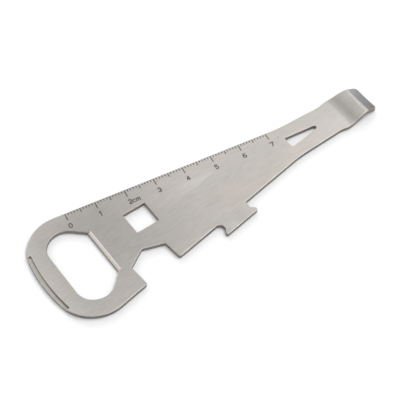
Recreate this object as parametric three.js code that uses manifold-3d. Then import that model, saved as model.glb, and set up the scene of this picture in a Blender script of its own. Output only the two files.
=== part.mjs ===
// Painter's multi tool: one stamped and bent stainless sheet. From left to right it has a
// looped handle with a bottle opener, a 13 mm spanner jaw, a square key hole, a hooked tooth,
// a long shank with a keyhole slot, and a bent pry tip for lids. A 0 to 7 cm rule is engraved
// along its upper edge, and the dark lining of each engraved figure and long mark is a solid
// of its own.
// Units are millimetres. +X runs along the tool's axis to the pry tip, +Z is up out of the
// ruled face, and the tool is drawn with x = 0 at the end of the handle and y = 0 on its axis.
import * as THREE from "three";
import { mergeVertices } from "three/addons/utils/BufferGeometryUtils.js";
import Module from "manifold-3d";

const wasm = await Module();
wasm.setup();
const { Manifold, Mesh } = wasm;
const DEG = Math.PI / 180;

// ---- driving dimensions -------------------------------------------------------------------
const SHEET = 1.5; // thickness of the sheet
const ARC_STEP = 0.55; // longest chord on a large arc
const ARC_TURN = 9 * DEG; // widest turn between two chords

// handle loop: one large radius at each corner, and a flatter arc across the end
const HANDLE_CORNER = { x: 12.95, upperY: 7.0, lowerY: -6.85, r: 12.35 };
const RULE_SLOPE = -9.1 * DEG; // upper, ruled edge
const LOWER_SLOPE = 9.8 * DEG; // lower edge, from the handle to the jaw

// hand hole with the opener edge on its right side
const HOLE_CORNER = { x: 12.92, y: 7.5, r: 6.05 };
const OPENER_X = 20.88;
const OPENER_HALF = 8.5;
const BEVEL_WIDTH = 1.07;
const BEVEL_DEPTH = 0.55;

// stepped lip on the end of the handle
const LIP_DEPTH = 0.28; // at the end of the handle, on the axis
const LIP_SLOPE = 7; // degrees, deeper towards the step
const LIP_TILT = 0.6; // degrees, deeper towards the lower end
const LIP_X = 1.44; // where the step is nearest to the end of the handle
const LIP_Y = -0.3;
const LIP_RADIUS = 62;
const LIP_ENDS = [-10.75, 11.5];
const LIP_CUTTER = 0.3;
const LIP_END_SLANT = 0.35; // fall of both ends towards the outline, per mm

// square key hole and keyhole slot
const SQUARE = { x: 37.12, y: 3.63, side: 8.0, r: 0.25 };
const SLOT = { left: 92.25, bow: 0.55, y: 0.15, half: 2.12, tipX: 102.6, tipR: 0.72, r: 0.4 };

// spanner jaw, corner by corner: x, y, corner radius
const JAW = [
  [25.31, -17.24, 0.75],
  [24.74, -9.72, 0.25],
  [30.88, -6.12, 0.7],
  [37.82, -8.47, 0.7],
  [38.53, -15.07, 0.7],
];
// hooked tooth with an undercut at each side: x, y, corner radius
const TOOTH = [
  [55.72, -12.26, 1.6],
  [55.68, -14.6, 1.1],
  [54.37, -17.17, 0.5],
  [68.92, -14.82, 0.7],
  [66.64, -12.7, 0.7],
  [66.57, -10.46, 0.8],
];

// side profile of the bent tip, on the upper face: where each slope starts, its angle, and the
// radius of the bend into it
const BENDS = [
  { x: 114.0, angle: 19 * DEG, r: 9 },
  { x: 117.2, angle: 9.5 * DEG, r: 20 },
  { x: 120.35, angle: -22.5 * DEG, r: 3 },
];
const CREST = BENDS.at(-1);
// the tip's lower edge comes back down to the plane of the underside
const END_DROP = profileZ(CREST.x) + SHEET * (1 - Math.cos(CREST.angle));
const END_X = CREST.x + END_DROP / Math.tan(-CREST.angle);

// shank and blade, corner by corner: x, y, corner radius
const SHANK_BEND_R = 50;
const SHANK_UPPER_X = 93.0; // where the ruled edge meets the shank
const SHANK_LOWER = [91.6, -6.28, SHANK_BEND_R];
const BLADE_UPPER = [
  [109.15, 6.07, 4],
  [111.4, 6.53, 5],
  [113.1, 6.64, 6],
  [END_X, 5.27, 1.2],
];
const BLADE_LOWER = [
  [END_X, -5.18, 0.8],
  [113.1, -6.22, 6],
  [111.4, -6.17, 5],
  [109.15, -5.7, 4],
];
const END_HOLLOW = [END_X - 0.23, 0.1, 60];

// engraved rule
const RULE_ZERO_X = 18.95;
const RULE_CM = 7;
const MARK_DEPTH = 0.15;
const MARK_WIDTH = 0.33;
const MARK_GAP = 0.2; // from the edge of the sheet to the start of a mark
const MARK_LENGTH = { mm: 0.8, half: 1.5, cm: 2.55 };
const FIGURE_Y = -4.95; // centre of the figures below the ruled edge
const FIGURE_HEIGHT = 1.9;
const FIGURE_STROKE = 0.36;
const UNIT_X = { c: 21.15, m: 22.55 }; // places of the unit's letters along the rule
const LINING_CLEARANCE = 0.02;
const LINING_THICK = 0.07;

const STEEL = new THREE.MeshStandardMaterial({ color: 0xbfbbb4, roughness: 0.38, metalness: 1 });
const LINING = new THREE.MeshStandardMaterial({ color: 0x5c5650, roughness: 0.8, metalness: 0 });

// ---- outlines -----------------------------------------------------------------------------
// Points along an arc, from angle a0 to a1.
function arc(cx, cy, r, a0, a1) {
  const turn = Math.abs(a1 - a0);
  const steps = Math.max(2, Math.ceil(Math.max((turn * r) / ARC_STEP, turn / ARC_TURN)));
  const points = [];
  for (let i = 0; i <= steps; i++) {
    const a = a0 + ((a1 - a0) * i) / steps;
    points.push(new THREE.Vector2(cx + r * Math.cos(a), cy + r * Math.sin(a)));
  }
  return points;
}

// Points of one rounded corner between the directions to its two neighbours.
function corner(before, here, after) {
  const [x, y, r] = here;
  const into = new THREE.Vector2(x - before[0], y - before[1]).normalize();
  const out = new THREE.Vector2(after[0] - x, after[1] - y).normalize();
  const turn = Math.atan2(into.cross(out), into.dot(out));
  if (!r || Math.abs(turn) < 1e-6) return [new THREE.Vector2(x, y)];
  const reach = r * Math.tan(Math.abs(turn) / 2);
  const side = Math.sign(turn);
  const cx = x - into.x * reach - side * into.y * r;
  const cy = y - into.y * reach + side * into.x * r;
  const start = Math.atan2(into.y, into.x) - (side * Math.PI) / 2;
  return arc(cx, cy, r, start, start + turn);
}

// A closed outline of rounded corners.
function roundedLoop(corners) {
  const n = corners.length;
  return corners.flatMap((here, i) => corner(corners[(i + n - 1) % n], here, corners[(i + 1) % n]));
}

// An open run of rounded corners: its first and last points only give directions.
function roundedRun(corners) {
  return corners.slice(1, -1).flatMap((here, i) => corner(corners[i], here, corners[i + 2]));
}

// Height of the sharp-cornered side profile above the flat of the upper face.
function profileZ(atX) {
  let z = 0;
  BENDS.forEach(({ x, angle }, i) => {
    const end = Math.min(atX, BENDS[i + 1]?.x ?? Infinity);
    z += Math.max(0, end - x) * Math.tan(angle);
  });
  return z;
}

// The ruled edge touches the upper corner arc.
function ruleEdgeY(atX) {
  const { x, upperY, r } = HANDLE_CORNER;
  const normal = Math.PI / 2 + RULE_SLOPE;
  const touchX = x + r * Math.cos(normal);
  const touchY = upperY + r * Math.sin(normal);
  return touchY + (atX - touchX) * Math.tan(RULE_SLOPE);
}

// The sheet's outline, anticlockwise from the middle of the handle's end.
function sheetOutline() {
  const { x, upperY, lowerY, r } = HANDLE_CORNER;
  // the end arc touches both corner arcs and passes through x = 0
  const middle = (upperY + lowerY) / 2;
  const half = (upperY - lowerY) / 2;
  const endR = (x * x + half * half - r * r) / (2 * (x - r));
  const join = Math.atan2(half, endR - x);
  const ruleNormal = Math.PI / 2 + RULE_SLOPE;
  const lowerNormal = -Math.PI / 2 + LOWER_SLOPE;
  const lowerEdge = [x + r * Math.cos(lowerNormal), lowerY + r * Math.sin(lowerNormal)];
  return [
    ...arc(endR, middle, endR, Math.PI + join, Math.PI - join),
    ...arc(x, upperY, r, Math.PI - join, ruleNormal).slice(1),
    ...roundedRun([
      [RULE_ZERO_X, ruleEdgeY(RULE_ZERO_X)],
      [SHANK_UPPER_X, ruleEdgeY(SHANK_UPPER_X), SHANK_BEND_R],
      ...BLADE_UPPER,
      END_HOLLOW,
      ...BLADE_LOWER,
      SHANK_LOWER,
      ...[...TOOTH].reverse(),
      ...[...JAW].reverse(),
      lowerEdge,
    ]),
    ...arc(x, lowerY, r, lowerNormal, -Math.PI + join).slice(0, -1),
  ].reverse();
}

function handHole() {
  const { x, y, r } = HOLE_CORNER;
  // the slanted sides run from the opener's corners to touch the corner arcs
  const dx = OPENER_X - x;
  const dy = OPENER_HALF - y;
  const touch = Math.atan2(dy, dx) + Math.acos(r / Math.hypot(dx, dy));
  return [
    new THREE.Vector2(OPENER_X, -OPENER_HALF),
    new THREE.Vector2(OPENER_X, OPENER_HALF),
    ...arc(x, y, r, touch, Math.PI),
    ...arc(x, -y, r, -Math.PI, -touch),
  ];
}

function squareHole() {
  const { x, y, side, r } = SQUARE;
  const h = side / 2;
  return roundedLoop([
    [x - h, y - h, r],
    [x + h, y - h, r],
    [x + h, y + h, r],
    [x - h, y + h, r],
  ]);
}

function slotHole() {
  const { left, bow, y, half, tipX, tipR, r } = SLOT;
  // each long side touches the round end
  const dx = tipX - left;
  const slope = Math.atan2(half, dx) - Math.asin(tipR / Math.hypot(dx, half));
  return [
    ...roundedRun([
      [tipX, y + tipR],
      [left, y + half, r],
      [left - bow, y, 6],
      [left, y - half, r],
      [tipX, y - tipR],
    ]),
    ...arc(tipX, y, tipR, -Math.PI / 2 + slope, Math.PI / 2 - slope),
  ];
}

// ---- solids -------------------------------------------------------------------------------
function solidOf(geometry) {
  const g = geometry.clone();
  g.deleteAttribute("normal");
  g.deleteAttribute("uv");
  const merged = mergeVertices(g, 1e-4);
  return new Manifold(
    new Mesh({
      numProp: 3,
      vertProperties: new Float32Array(merged.attributes.position.array),
      triVerts: new Uint32Array(merged.index.array),
    }),
  );
}

// A closed outline extruded upwards from z0 to z1.
function prism(points, z0, z1) {
  const geometry = new THREE.ExtrudeGeometry(new THREE.Shape(points), {
    depth: z1 - z0,
    bevelEnabled: false,
  });
  return solidOf(geometry.translate(0, 0, z0));
}

function meshOf(name, solid, material) {
  const { vertProperties, triVerts } = solid.getMesh();
  const geometry = new THREE.BufferGeometry();
  geometry.setAttribute("position", new THREE.BufferAttribute(vertProperties.slice(), 3));
  geometry.setIndex(new THREE.BufferAttribute(triVerts.slice(), 1));
  geometry.computeVertexNormals();
  const mesh = new THREE.Mesh(geometry, material);
  mesh.name = name;
  return mesh;
}

// One face of the sheet in x and z, a depth below the upper face: flat, up to the crest, and
// down to the square-cut end. Inside a bend the radius is smaller, and outside it is larger.
function faceLine(depth) {
  const start = -5;
  let before = 0;
  const corners = BENDS.map(({ x, angle, r }) => {
    const mean = (angle + before) / 2;
    const reach = depth / Math.cos((angle - before) / 2);
    const bendR = r + depth * Math.sign(angle - before);
    before = angle;
    return [x + reach * Math.sin(mean), profileZ(x) - reach * Math.cos(mean), bendR];
  });
  const endX = END_X + depth * Math.sin(before);
  const endZ = profileZ(END_X) - depth * Math.cos(before);
  return roundedRun([
    [start - 1, -depth],
    [start, -depth, 0],
    ...corners,
    [endX, endZ, 0],
    [endX + 1, endZ + Math.tan(before)],
  ]);
}

// The sheet's side profile, anticlockwise.
function sideProfile() {
  return [...faceLine(SHEET), ...faceLine(0).reverse()];
}

// The bent but uncut sheet: the outline standing up, crossed by the side profile.
function blank() {
  const tall = 6;
  const wide = 60;
  const plan = prism(sheetOutline(), -tall, tall);
  const side = new THREE.ExtrudeGeometry(new THREE.Shape(sideProfile()), {
    depth: wide,
    bevelEnabled: false,
  });
  side.rotateX(Math.PI / 2).translate(0, wide / 2, 0);
  return plan.intersect(solidOf(side));
}

// The step cut away above the lip, with the cutter's radius left at its two ends.
function lipCut() {
  const [low, high] = LIP_ENDS;
  const stepX = (y) => LIP_X + (y - LIP_Y) ** 2 / (2 * LIP_RADIUS);
  const outside = -3;
  const step = [];
  const rows = 8;
  for (let i = 1; i < rows; i++) {
    const y = high + ((low - high) * i) / rows;
    step.push([stepX(y), y, 0]);
  }
  const points = roundedLoop([
    [outside, low - LIP_END_SLANT * (stepX(low) - outside), 0],
    [outside, high - LIP_END_SLANT * (stepX(high) - outside), 0],
    [stepX(high), high, LIP_CUTTER],
    ...step,
    [stepX(low), low, LIP_CUTTER],
  ]);
  return prism(points.reverse(), -LIP_DEPTH, 1).rotate([LIP_TILT, LIP_SLOPE, 0]);
}

// The wedge ground off the opener edge.
function bevelCut() {
  const above = 1;
  const run = (BEVEL_WIDTH * (BEVEL_DEPTH + above)) / BEVEL_DEPTH;
  const wedge = [
    new THREE.Vector2(OPENER_X, -BEVEL_DEPTH),
    new THREE.Vector2(OPENER_X + run, above),
    new THREE.Vector2(OPENER_X - 1, above),
    new THREE.Vector2(OPENER_X - 1, -BEVEL_DEPTH),
  ];
  const geometry = new THREE.ExtrudeGeometry(new THREE.Shape(wedge), {
    depth: 2 * OPENER_HALF,
    bevelEnabled: false,
  });
  geometry.rotateX(Math.PI / 2).translate(0, OPENER_HALF, 0);
  return solidOf(geometry);
}

// ---- engraved rule ------------------------------------------------------------------------
// Figures are strokes in a cell one unit high, with its middle at the origin.
const turn = (cx, cy, rx, ry, from, to, steps) =>
  Array.from({ length: steps + 1 }, (_, i) => {
    const a = (from + ((to - from) * i) / steps) * DEG;
    return [cx + rx * Math.cos(a), cy + ry * Math.sin(a)];
  });
const FIGURES = {
  0: [turn(0, 0, 0.26, 0.42, 0, 360, 12)],
  1: [[[-0.16, 0.24], [0.06, 0.48], [0.03, -0.5]]],
  2: [[...turn(0, 0.18, 0.25, 0.24, 165, -30, 6), [-0.27, -0.42], [0.29, -0.42]]],
  3: [[...turn(-0.02, 0.21, 0.24, 0.21, 150, -75, 6), ...turn(-0.02, -0.2, 0.27, 0.22, 80, -150, 6)]],
  4: [[[0.12, -0.42], [0.12, 0.42], [-0.28, -0.16], [0.3, -0.16]]],
  5: [[[0.24, 0.42], [-0.2, 0.42], [-0.23, 0.05], ...turn(-0.02, -0.13, 0.27, 0.28, 110, -150, 7)]],
  6: [[[0.2, 0.4], ...turn(0.02, -0.02, 0.28, 0.4, 110, 180, 3), ...turn(0, -0.17, 0.26, 0.25, 180, 540, 10)]],
  7: [[[-0.32, 0.38], [-0.08, 0.4], [0.32, 0.42], [-0.06, -0.42]]],
  c: [turn(0, -0.12, 0.21, 0.28, 40, 320, 8)],
  m: [
    [[-0.32, -0.42], [-0.32, 0.16], ...turn(-0.16, 0.0, 0.16, 0.17, 150, 0, 3), [0, -0.42]],
    [[0, 0.0], ...turn(0.16, 0.0, 0.16, 0.17, 180, 0, 4), [0.32, -0.42]],
  ],
};

// A place along the ruled edge, in the sheet's own x and y.
function onRule(along, below) {
  const c = Math.cos(RULE_SLOPE);
  const s = Math.sin(RULE_SLOPE);
  const zeroY = ruleEdgeY(RULE_ZERO_X);
  return [RULE_ZERO_X + along * c - below * s, zeroY + along * s + below * c];
}

// One straight stroke between two places on the rule, square or pointed at its ends.
function stroke(from, to, width, point, z0, z1) {
  const a = new THREE.Vector2(...onRule(...from));
  const b = new THREE.Vector2(...onRule(...to));
  const along = b.clone().sub(a).normalize();
  const left = new THREE.Vector2(-along.y, along.x).multiplyScalar(width / 2);
  const points = [a.clone().sub(left), b.clone().sub(left)];
  if (point) points.push(b.clone().addScaledVector(along, point));
  points.push(b.clone().add(left), a.clone().add(left));
  if (point) points.push(a.clone().addScaledVector(along, -point));
  return prism(points, z0, z1);
}

// A straight mark of the rule, shrunk on every side by a clearance.
function mark(along, length, shrink, z0, z1) {
  const from = [along, -MARK_GAP - shrink];
  const to = [along, -MARK_GAP - length + shrink];
  return stroke(from, to, MARK_WIDTH - 2 * shrink, 0, z0, z1);
}

// A figure centred on a place along the rule.
function figure(name, along, shrink, z0, z1) {
  const width = FIGURE_STROKE - 2 * shrink;
  const place = ([x, y]) => [along + x * FIGURE_HEIGHT, FIGURE_Y + y * FIGURE_HEIGHT];
  const strokes = [];
  for (const line of FIGURES[name]) {
    for (let i = 1; i < line.length; i++) {
      strokes.push(stroke(place(line[i - 1]), place(line[i]), width, width * 0.3, z0, z1));
    }
  }
  return strokes.reduce((whole, part) => whole.add(part));
}

// Every mark and figure: its name, its place on the rule, and whether it gets its own lining.
function engraving() {
  const list = [];
  for (let mm = 0; mm <= RULE_CM * 10; mm++) {
    const kind = mm % 10 === 0 ? "cm" : mm % 5 === 0 ? "half" : "mm";
    const name = kind === "cm" ? "mark_" + mm / 10 + "cm" : "mark_" + mm + "mm";
    list.push({ name, lined: kind !== "mm", make: (...fit) => mark(mm, MARK_LENGTH[kind], ...fit) });
  }
  for (let cm = 0; cm <= RULE_CM; cm++) {
    list.push({ name: "figure_" + cm, lined: true, make: (...fit) => figure(cm, cm * 10, ...fit) });
  }
  for (const [letter, along] of Object.entries(UNIT_X)) {
    list.push({ name: "letter_" + letter, lined: true, make: (...fit) => figure(letter, along, ...fit) });
  }
  return list;
}

// ---- assembly -----------------------------------------------------------------------------
const marks = engraving();
const through = [handHole(), squareHole(), slotHole()].map((hole) => prism(hole, -4, 4));
const grooves = marks.map((one) => one.make(0, -MARK_DEPTH, 1));
const cuts = [...through, lipCut(), bevelCut(), ...grooves];
const plate = cuts.reduce((solid, cut) => solid.subtract(cut), blank());

const tool = new THREE.Group();
tool.add(meshOf("tool_plate", plate, STEEL));
for (const one of marks.filter((m) => m.lined)) {
  const floor = -MARK_DEPTH + LINING_CLEARANCE;
  const lining = one.make(LINING_CLEARANCE, floor, floor + LINING_THICK);
  tool.add(meshOf(one.name, lining, LINING));
}

// The origin is the middle of the tool's underside.
const box = new THREE.Box3().setFromObject(tool);
const middle = box.getCenter(new THREE.Vector3());
tool.position.set(-middle.x, -middle.y, -box.min.z);

export default tool;
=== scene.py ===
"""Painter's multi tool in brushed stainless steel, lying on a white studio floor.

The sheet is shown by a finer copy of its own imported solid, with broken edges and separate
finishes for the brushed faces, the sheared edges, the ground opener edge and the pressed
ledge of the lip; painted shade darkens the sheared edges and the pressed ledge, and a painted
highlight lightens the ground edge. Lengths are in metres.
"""
import math

import bmesh
import bpy
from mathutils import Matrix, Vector


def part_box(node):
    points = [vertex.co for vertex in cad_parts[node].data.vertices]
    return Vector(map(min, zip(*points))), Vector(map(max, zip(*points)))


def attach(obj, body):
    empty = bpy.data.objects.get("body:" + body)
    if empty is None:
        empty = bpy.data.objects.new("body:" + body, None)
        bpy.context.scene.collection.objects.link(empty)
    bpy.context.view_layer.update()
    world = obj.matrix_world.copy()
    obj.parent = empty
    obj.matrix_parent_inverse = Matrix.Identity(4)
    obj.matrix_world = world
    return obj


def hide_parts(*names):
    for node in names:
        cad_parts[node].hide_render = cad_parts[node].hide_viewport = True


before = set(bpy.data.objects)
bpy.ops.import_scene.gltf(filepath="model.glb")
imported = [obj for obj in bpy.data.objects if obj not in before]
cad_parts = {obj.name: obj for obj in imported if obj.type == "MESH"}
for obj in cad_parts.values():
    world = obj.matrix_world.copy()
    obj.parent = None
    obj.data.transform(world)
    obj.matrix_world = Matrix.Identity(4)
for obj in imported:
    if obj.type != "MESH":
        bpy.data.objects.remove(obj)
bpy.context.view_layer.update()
MM = 0.001

# ---- sizes that the looks need ---------------------------------------------------------------
EDGE_BREAK = 0.17 * MM      # rounding of the sheared edges
EDGE_STEPS = 3
TALL_WALL = 0.6 * MM        # walls lower than this are grooves, and stay sharp
RULE_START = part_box("mark_0cm")
RULE_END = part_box("mark_7cm")
RULE_MM = 70                # millimetres from the first mark to the last
NODE_MARK_MM = 5            # each fifth mark is a node of its own
CM_MARK, MM_MARK = 2.55 * MM, 0.8 * MM      # lengths of the marks
MARK_WIDTH = 0.33 * MM
LINING_CLEARANCE = 0.02 * MM
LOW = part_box("tool_plate")[0]
SHEET_THICKNESS = 1.5 * MM
SHEET_TOP = LOW.z + SHEET_THICKNESS         # the flat part's upper face
LIP_SHALLOWEST, LIP_DEEPEST = 0.1 * MM, 0.9 * MM    # below the sheet's top
LIP_REACH = 4 * MM          # from the end of the handle
# middle and reach of the painted shade that darkens the flat face on the handle
SHADE_MIDDLE = Vector((LOW.x + 25 * MM, 12.5 * MM, SHEET_TOP))
SHADE_RADIUS = 36 * MM
# reach of the painted highlight that lightens the end of the handle
HIGHLIGHT_REACH = 8 * MM

# ---- camera ----------------------------------------------------------------------------------
VIEW_AZIMUTH, VIEW_ELEVATION = -36.0, 53.79         # degrees
VIEW_DISTANCE = 0.3663
VIEW_TARGET = Vector((-0.00662, -0.00176, 0.0015))
LENS = 106.72


def aim(thing, target, azimuth, elevation, distance):
    """Puts a camera or a light at a distance from the target, and turns it to face it.

    The angles are in degrees. Azimuth 0 looks along +Y, and 90 along -X.
    """
    azimuth, elevation = math.radians(azimuth), math.radians(elevation)
    away = Vector((
        math.sin(azimuth) * math.cos(elevation),
        -math.cos(azimuth) * math.cos(elevation),
        math.sin(elevation),
    ))
    thing.location = target + away * distance
    thing.rotation_euler = (-away).to_track_quat("-Z", "Y").to_euler()


def add_camera():
    data = bpy.data.cameras.new("camera")
    data.lens = LENS
    data.sensor_width = 36
    data.clip_start = 0.01
    camera = bpy.data.objects.new("camera", data)
    bpy.context.scene.collection.objects.link(camera)
    aim(camera, VIEW_TARGET, VIEW_AZIMUTH, VIEW_ELEVATION, VIEW_DISTANCE)
    bpy.context.scene.camera = camera


# ---- materials -------------------------------------------------------------------------------
WHITE = (1.0, 1.0, 1.0)


def new_material(name):
    material = bpy.data.materials.new(name)
    material.use_nodes = True
    nodes = material.node_tree.nodes
    return material, nodes, material.node_tree.links, nodes["Principled BSDF"]


def stretched_noise(nodes, links, scale, detail=3.0):
    """Noise in object space, scaled along x, y and z per metre."""
    coords = nodes.new("ShaderNodeTexCoord")
    mapping = nodes.new("ShaderNodeMapping")
    mapping.inputs["Scale"].default_value = scale
    noise = nodes.new("ShaderNodeTexNoise")
    noise.inputs["Scale"].default_value = 1.0
    noise.inputs["Detail"].default_value = detail
    noise.inputs["Roughness"].default_value = 0.6
    links.new(coords.outputs["Object"], mapping.inputs["Vector"])
    links.new(mapping.outputs["Vector"], noise.inputs["Vector"])
    return noise.outputs["Fac"]


def from_painted_shade_middle(nodes, links):
    """0 in the middle of the painted shade on the handle, 1 at its rim and beyond."""
    coords = nodes.new("ShaderNodeTexCoord")
    distance = nodes.new("ShaderNodeVectorMath")
    distance.operation = "DISTANCE"
    distance.inputs[1].default_value = SHADE_MIDDLE
    spread = nodes.new("ShaderNodeMapRange")
    spread.inputs["From Max"].default_value = SHADE_RADIUS
    links.new(coords.outputs["Object"], distance.inputs[0])
    links.new(distance.outputs["Value"], spread.inputs["Value"])
    return spread.outputs["Result"]


def from_highlit_end(nodes, links):
    """0 at the end of the handle, rising to 1 where the painted highlight ends."""
    coords = nodes.new("ShaderNodeTexCoord")
    split = nodes.new("ShaderNodeSeparateXYZ")
    spread = nodes.new("ShaderNodeMapRange")
    spread.inputs["From Min"].default_value = LOW.x
    spread.inputs["From Max"].default_value = LOW.x + HIGHLIGHT_REACH
    links.new(coords.outputs["Object"], split.inputs["Vector"])
    links.new(split.outputs["X"], spread.inputs["Value"])
    return spread.outputs["Result"]


def colour_ramp(nodes, links, value, low, high, low_at=0.3, high_at=0.7):
    ramp = nodes.new("ShaderNodeValToRGB")
    ramp.color_ramp.elements[0].position = low_at
    ramp.color_ramp.elements[0].color = (*low, 1)
    ramp.color_ramp.elements[1].position = high_at
    ramp.color_ramp.elements[1].color = (*high, 1)
    links.new(value, ramp.inputs["Fac"])
    return ramp.outputs["Color"]


def multiply(nodes, links, first, second):
    mix = nodes.new("ShaderNodeMix")
    mix.data_type = "RGBA"
    mix.blend_type = "MULTIPLY"
    mix.inputs["Factor"].default_value = 1.0
    links.new(first, mix.inputs["A"])
    links.new(second, mix.inputs["B"])
    return mix.outputs["Result"]


def bump_from(nodes, links, height, shader, distance):
    bump = nodes.new("ShaderNodeBump")
    bump.inputs["Strength"].default_value = 1.0
    bump.inputs["Distance"].default_value = distance
    links.new(height, bump.inputs["Height"])
    links.new(bump.outputs["Normal"], shader.inputs["Normal"])


def brushed_steel():
    """Fine grain and longer streaks along the tool, over faint patches of tint.

    Painted shade darkens the flat face around a middle on the handle, and a painted highlight
    lightens the end of the handle.
    """
    material, nodes, links, shader = new_material("brushed_steel")
    grain = stretched_noise(nodes, links, (260, 4600, 900))
    grain_colour = colour_ramp(nodes, links, grain, (0.86, 0.86, 0.86), WHITE)
    streaks = stretched_noise(nodes, links, (260, 2100, 500), detail=2.0)
    streak_colour = colour_ramp(nodes, links, streaks, (0.94, 0.94, 0.94), WHITE)
    patches = stretched_noise(nodes, links, (45, 90, 45), detail=2.0)
    tint = colour_ramp(nodes, links, patches, (0.690, 0.663, 0.627), (0.739, 0.682, 0.627))
    grained = multiply(nodes, links, grain_colour, streak_colour)
    distance = from_painted_shade_middle(nodes, links)
    # painted shade: the flat face darker towards the middle on the handle
    painted_shade = colour_ramp(
        nodes, links, distance, (0.72, 0.73, 0.74), WHITE, low_at=0.1, high_at=0.95,
    )
    end = from_highlit_end(nodes, links)
    # painted highlight: the end of the handle lighter
    painted_highlight = colour_ramp(
        nodes, links, end, WHITE, (0.85, 0.85, 0.85), low_at=0.2, high_at=0.9,
    )
    tint_and_painted_light = multiply(nodes, links, multiply(nodes, links, tint, painted_highlight), painted_shade)
    links.new(multiply(nodes, links, tint_and_painted_light, grained), shader.inputs["Base Color"])
    rough = nodes.new("ShaderNodeMapRange")
    rough.inputs["To Min"].default_value = 0.26
    rough.inputs["To Max"].default_value = 0.36
    links.new(grain, rough.inputs["Value"])
    links.new(rough.outputs["Result"], shader.inputs["Roughness"])
    shader.inputs["Metallic"].default_value = 1.0
    bump_from(nodes, links, grain, shader, 0.003 * MM)
    return material


def sheared_steel():
    """Dark grey of a punched edge, partly its duller finish and partly painted shade, with fine
    upright tearing.
    """
    material, nodes, links, shader = new_material("sheared_steel")
    tearing = stretched_noise(nodes, links, (3000, 3000, 300))
    # painted shade on top of the punched edge's own dull grey: the walls darker than the brushed
    # faces
    colour = colour_ramp(nodes, links, tearing, (0.20, 0.188, 0.177), (0.32, 0.303, 0.288))
    links.new(colour, shader.inputs["Base Color"])
    shader.inputs["Metallic"].default_value = 1.0
    shader.inputs["Roughness"].default_value = 0.5
    bump_from(nodes, links, tearing, shader, 0.01 * MM)
    return material


def worked_steel(name, dark, bright):
    """Where the sheet was ground or pressed down after it was brushed; the given colours paint a
    highlight on the ground slope and shade on the pressed ledge.
    """
    material, nodes, links, shader = new_material(name)
    scoring = stretched_noise(nodes, links, (500, 3500, 500))
    links.new(colour_ramp(nodes, links, scoring, dark, bright), shader.inputs["Base Color"])
    shader.inputs["Metallic"].default_value = 1.0
    shader.inputs["Roughness"].default_value = 0.42
    bump_from(nodes, links, scoring, shader, 0.004 * MM)
    return material


def dark_lining():
    """Matt, warm dark grey in the engraved marks, a little uneven."""
    material, nodes, links, shader = new_material("engraved_lining")
    patches = stretched_noise(nodes, links, (1500, 1500, 1500))
    colour = colour_ramp(nodes, links, patches, (0.06, 0.054, 0.048), (0.12, 0.108, 0.097))
    links.new(colour, shader.inputs["Base Color"])
    shader.inputs["Roughness"].default_value = 0.8
    return material


# ---- the sheet -------------------------------------------------------------------------------
BRUSHED, SHEARED, GROUND, PRESSED = range(4)    # places of the sheet's materials
# parts of a face's normal
FLAT = 0.99999              # upright part: at least this on a flat face
LEVEL = 0.5                 # upright part: more than this on all but the walls
LIP_LEVEL = 0.9             # upright part: more than this on the lip
BEVEL_LEAN = -0.35          # part along x: less than this on the opener's slope
SAME_POINT = 0.001 * MM
SAME_PLANE = math.radians(0.4)
SHARP_ANGLE = math.radians(35)


def is_level(face):
    return abs(face.normal.z) > LEVEL


def is_bevel(face):
    """The slope ground off the opener: it leans towards the handle more than the bent tip does."""
    return face.normal.z > LEVEL and face.normal.x < BEVEL_LEAN


def is_lip(face):
    """The pressed ledge at the end of the handle."""
    middle = face.calc_center_median()
    if face.normal.z <= LIP_LEVEL or middle.x >= LOW.x + LIP_REACH:
        return False
    return LIP_SHALLOWEST < SHEET_TOP - middle.z < LIP_DEEPEST


def rim_edges(bm):
    """The convex edges between a brushed face and a tall wall, top and bottom."""
    rims = []
    for edge in bm.edges:
        if len(edge.link_faces) != 2 or not edge.is_convex:
            continue
        walls = [face for face in edge.link_faces if not is_level(face)]
        if len(walls) != 1:
            continue
        heights = [vert.co.z for vert in walls[0].verts]
        if max(heights) - min(heights) > TALL_WALL:
            rims.append(edge)
    return rims


def steel_sheet(*materials):
    """A copy of the plate's solid with its sheared edges broken.

    The materials come in the order BRUSHED, SHEARED, GROUND, PRESSED.
    """
    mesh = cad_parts["tool_plate"].data.copy()
    mesh.name = "steel_sheet"
    plate = bpy.data.objects.new("steel_sheet", mesh)
    bpy.context.scene.collection.objects.link(plate)
    mesh.materials.clear()
    for material in materials:
        mesh.materials.append(material)
    bm = bmesh.new()
    bm.from_mesh(mesh)
    bmesh.ops.remove_doubles(bm, verts=bm.verts, dist=SAME_POINT)
    # a second pass, over new triangles, leaves no face that the edge break would fold
    for _ in range(2):
        bmesh.ops.triangulate(bm, faces=bm.faces)
        bmesh.ops.dissolve_limit(bm, angle_limit=SAME_PLANE, verts=bm.verts, edges=bm.edges)
    for face in bm.faces:
        # flat faces keep their own normal, so that no groove shades them
        face.smooth = abs(face.normal.z) < FLAT
        face.material_index = BRUSHED if is_level(face) else SHEARED
        if is_bevel(face):
            face.material_index = GROUND
        elif is_lip(face):
            face.material_index = PRESSED
    rounded = bmesh.ops.bevel(
        bm, geom=rim_edges(bm), offset=EDGE_BREAK, segments=EDGE_STEPS, profile=0.5,
        affect="EDGES", clamp_overlap=False, loop_slide=False,
    )
    for face in rounded["faces"]:
        face.smooth = True
        face.material_index = BRUSHED if is_level(face) else SHEARED
    bm.to_mesh(mesh)
    bm.free()
    mesh.set_sharp_from_angle(angle=SHARP_ANGLE)
    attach(plate, "root")
    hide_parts("tool_plate")
    weighted = plate.modifiers.new("weighted_normals", "WEIGHTED_NORMAL")
    weighted.keep_sharp = True


# a box's corners, four below and four above, and its faces
CORNER_SIDES = ((-1, -1), (1, -1), (1, 1), (-1, 1))
BOX_FACES = (
    (0, 1, 2, 3), (7, 6, 5, 4), (0, 4, 5, 1),
    (1, 5, 6, 2), (2, 6, 7, 3), (3, 7, 4, 0),
)


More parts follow.
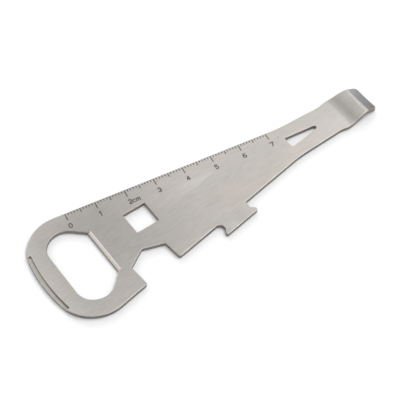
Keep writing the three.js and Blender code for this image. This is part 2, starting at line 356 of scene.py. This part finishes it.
def millimetre_linings(material):
    """The dark lining of the plain millimetre marks, between the half-centimetre ones."""
    start = (RULE_START[0] + RULE_START[1]) / 2
    end = (RULE_END[0] + RULE_END[1]) / 2
    along = (end - start) / RULE_MM
    direction = along.normalized()
    inwards = Vector((direction.y, -direction.x, 0))
    half_width = MARK_WIDTH / 2 - LINING_CLEARANCE
    half_length = MM_MARK / 2 - LINING_CLEARANCE
    # all marks start at the same distance from the edge
    back = inwards * (MM_MARK - CM_MARK) / 2
    half_height = (RULE_START[1].z - RULE_START[0].z) / 2
    bm = bmesh.new()
    for mm in range(RULE_MM):
        if mm % NODE_MARK_MM == 0:
            continue
        middle = start + along * mm + back
        corners = []
        for z in (-half_height, half_height):
            for x, y in CORNER_SIDES:
                offset = direction * half_width * x + inwards * half_length * y
                corners.append(bm.verts.new(middle + offset + Vector((0, 0, z))))
        for face in BOX_FACES:
            bm.faces.new([corners[i] for i in face])
    bmesh.ops.recalc_face_normals(bm, faces=bm.faces)
    mesh = bpy.data.meshes.new("millimetre_marks")
    bm.to_mesh(mesh)
    bm.free()
    mesh.materials.append(material)
    marks = bpy.data.objects.new("millimetre_marks", mesh)
    bpy.context.scene.collection.objects.link(marks)
    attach(marks, "root")


# ---- stage -----------------------------------------------------------------------------------
FLOOR_HALF_SIDE = 3.0
FLOOR_GAP = 0.02 * MM       # keeps the floor clear of the underside
WORLD_STRENGTH = 0.005
SOFTBOX_DISTANCE = 0.9
NEUTRAL = (1.0, 1.0, 1.0)
COOL = (0.93, 1.0, 1.09)
# azimuth and elevation in degrees, side in metres, power in watts and colour
SOFTBOXES = {
    "front_high": (0, 65, 0.5, 2.095, NEUTRAL),
    "front_right_low": (45, 15, 1.0, 3.98, NEUTRAL),
    "front_left": (325, 40, 0.8, 1.3, NEUTRAL),
    "right_high": (90, 65, 0.5, 3.11, NEUTRAL),
    "right_small": (120, 50, 0.2, 0.277, NEUTRAL),
    "back_right_low": (135, 15, 0.5, 2.107, COOL),
    "back": (160, 35, 0.5, 1.578, NEUTRAL),
    "back_low": (180, 15, 0.5, 2.408, NEUTRAL),
    "back_high": (180, 65, 0.5, 0.402, NEUTRAL),
    "back_left": (225, 42, 0.5, 0.844, NEUTRAL),
    "left_low": (270, 15, 1.0, 2.5, NEUTRAL),
}


def add_floor():
    material, _, _, shader = new_material("floor")
    shader.inputs["Base Color"].default_value = (0.94, 0.94, 0.94, 1)
    shader.inputs["Roughness"].default_value = 0.9
    mesh = bpy.data.meshes.new("floor")
    side = FLOOR_HALF_SIDE
    corners = [(-side, -side, 0), (side, -side, 0), (side, side, 0), (-side, side, 0)]
    mesh.from_pydata(corners, [], [(0, 1, 2, 3)])
    floor = bpy.data.objects.new("floor", mesh)
    floor.location.z = LOW.z - FLOOR_GAP
    mesh.materials.append(material)
    bpy.context.scene.collection.objects.link(floor)


def add_softbox(name, azimuth, elevation, side, power, colour):
    data = bpy.data.lights.new(name, "AREA")
    data.shape = "SQUARE"
    data.size = side
    data.energy = power
    data.color = colour
    light = bpy.data.objects.new(name, data)
    aim(light, Vector(), azimuth, elevation, SOFTBOX_DISTANCE)
    bpy.context.scene.collection.objects.link(light)


def add_world():
    world = bpy.data.worlds.new("studio")
    world.use_nodes = True
    background = world.node_tree.nodes["Background"]
    background.inputs["Color"].default_value = (1, 1, 1, 1)
    background.inputs["Strength"].default_value = WORLD_STRENGTH
    bpy.context.scene.world = world


add_camera()
lining = dark_lining()
steel_sheet(
    brushed_steel(),
    sheared_steel(),
    # the ground opener slope: lighter than the brushed faces, partly its ground finish and partly
    # a painted highlight
    worked_steel("ground_steel_painted_highlight", (0.71, 0.67, 0.62), (0.82, 0.77, 0.72)),
    # the pressed ledge: painted shade, much darker than the brushed faces
    worked_steel("pressed_steel_painted_shade", (0.338, 0.314, 0.289), (0.395, 0.37, 0.342)),
)
for name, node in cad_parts.items():
    if name != "tool_plate":
        node.data.materials.clear()
        node.data.materials.append(lining)
millimetre_linings(lining)
add_floor()
add_world()
for name, softbox in SOFTBOXES.items():
    add_softbox("softbox_" + name, *softbox)
bpy.context.scene.view_settings.view_transform = "Standard"
